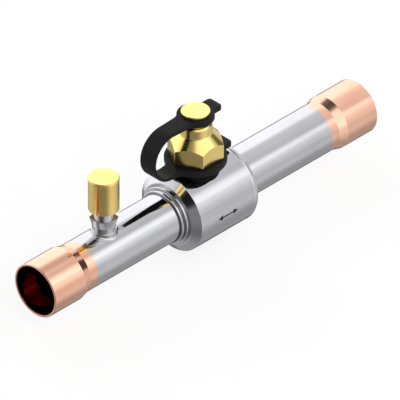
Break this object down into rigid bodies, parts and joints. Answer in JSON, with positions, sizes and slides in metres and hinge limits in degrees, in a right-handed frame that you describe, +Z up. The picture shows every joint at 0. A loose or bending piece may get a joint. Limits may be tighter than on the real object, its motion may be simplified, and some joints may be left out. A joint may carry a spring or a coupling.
{
  "type": "refrigerant service valve",
  "caption": "Straight-through refrigerant ball valve with copper solder sockets, steel body, tethered brass seal cap and a capped access port.",
  "frame": {"origin": "centre of the port-side socket's mouth", "axes": "+X along the pipe to the other socket, +Z up through the spindle and the access port"},
  "size_m": [0.19, 0.0358, 0.063],
  "materials": {
    "polished_steel": "polished",
    "plain_steel": "turned",
    "chromed_ball": "polished",
    "copper": "bare copper, smooth",
    "brass": "turned, bright",
    "black_plastic": "matt moulded",
    "seat_plastic": "smooth white",
    "rubber": "smooth",
    "gasket_fibre": "matt"
  },
  "bodies": {
    "valve_body": {"valve_housing": "polished_steel", "end_fitting": "polished_steel", "port_side_pipe": "polished_steel", "outlet_pipe": "polished_steel", "port_side_socket": "copper", "outlet_socket": "copper", "port_side_seat": "seat_plastic", "outlet_seat": "seat_plastic", "port_side_seat_ring": "rubber", "outlet_seat_ring": "rubber", "access_port": "polished_steel", "core_barrel": "brass", "core_barrel_seal": "seat_plastic", "core_spring": "plain_steel"},
    "spindle_set": {"spindle": "plain_steel", "ball": "chromed_ball", "stop_pin": "plain_steel", "lower_spindle_ring": "rubber", "upper_spindle_ring": "rubber", "thrust_washer": "seat_plastic"},
    "tether": {"cap_tether": "black_plastic", "seal_cap_gasket": "gasket_fibre"},
    "seal_cap": {"seal_cap": "brass"},
    "core_pin": {"core_pin": "plain_steel", "core_pin_seal": "rubber"},
    "access_gasket": {"access_cap_gasket": "rubber"},
    "access_cap": {"access_cap": "brass"}
  },
  "joints": [
    {"name": "spindle_turn", "type": "hinge", "parent": "valve_body", "child": "spindle_set", "pos_m": [0.094, 0, 0], "axis": [0, 0, -1], "range_deg": [0, 90]},
    {"name": "cap_lift", "type": "slide", "parent": "valve_body", "child": "tether", "axis": [0, 0, 1], "range_m": [0, 0.0061], "deforming": ["cap_tether"]},
    {"name": "cap_turn", "type": "hinge", "parent": "tether", "child": "seal_cap", "pos_m": [0.094, 0, 0], "axis": [0, 0, 1], "range_deg": [0, 1440]},
    {"name": "access_cap_lift", "type": "slide", "parent": "valve_body", "child": "access_gasket", "axis": [0, 0, 1], "range_m": [0, 0.0061]},
    {"name": "access_cap_turn", "type": "hinge", "parent": "access_gasket", "child": "access_cap", "pos_m": [0.0401, 0, 0], "axis": [0, 0, 1], "range_deg": [0, 2160]},
    {"name": "core_press", "type": "slide", "parent": "valve_body", "child": "core_pin", "axis": [0, 0, -1], "range_m": [0, 0.0012], "stiffness_N_per_m": 1500, "springref_m": -0.002, "deforming": ["core_spring"]}
  ],
  "couplings": [
    {"joint": "cap_lift", "follows": "cap_turn", "m_per_rad": 0.00023873},
    {"joint": "access_cap_lift", "follows": "access_cap_turn", "m_per_rad": 0.00015915}
  ]
}
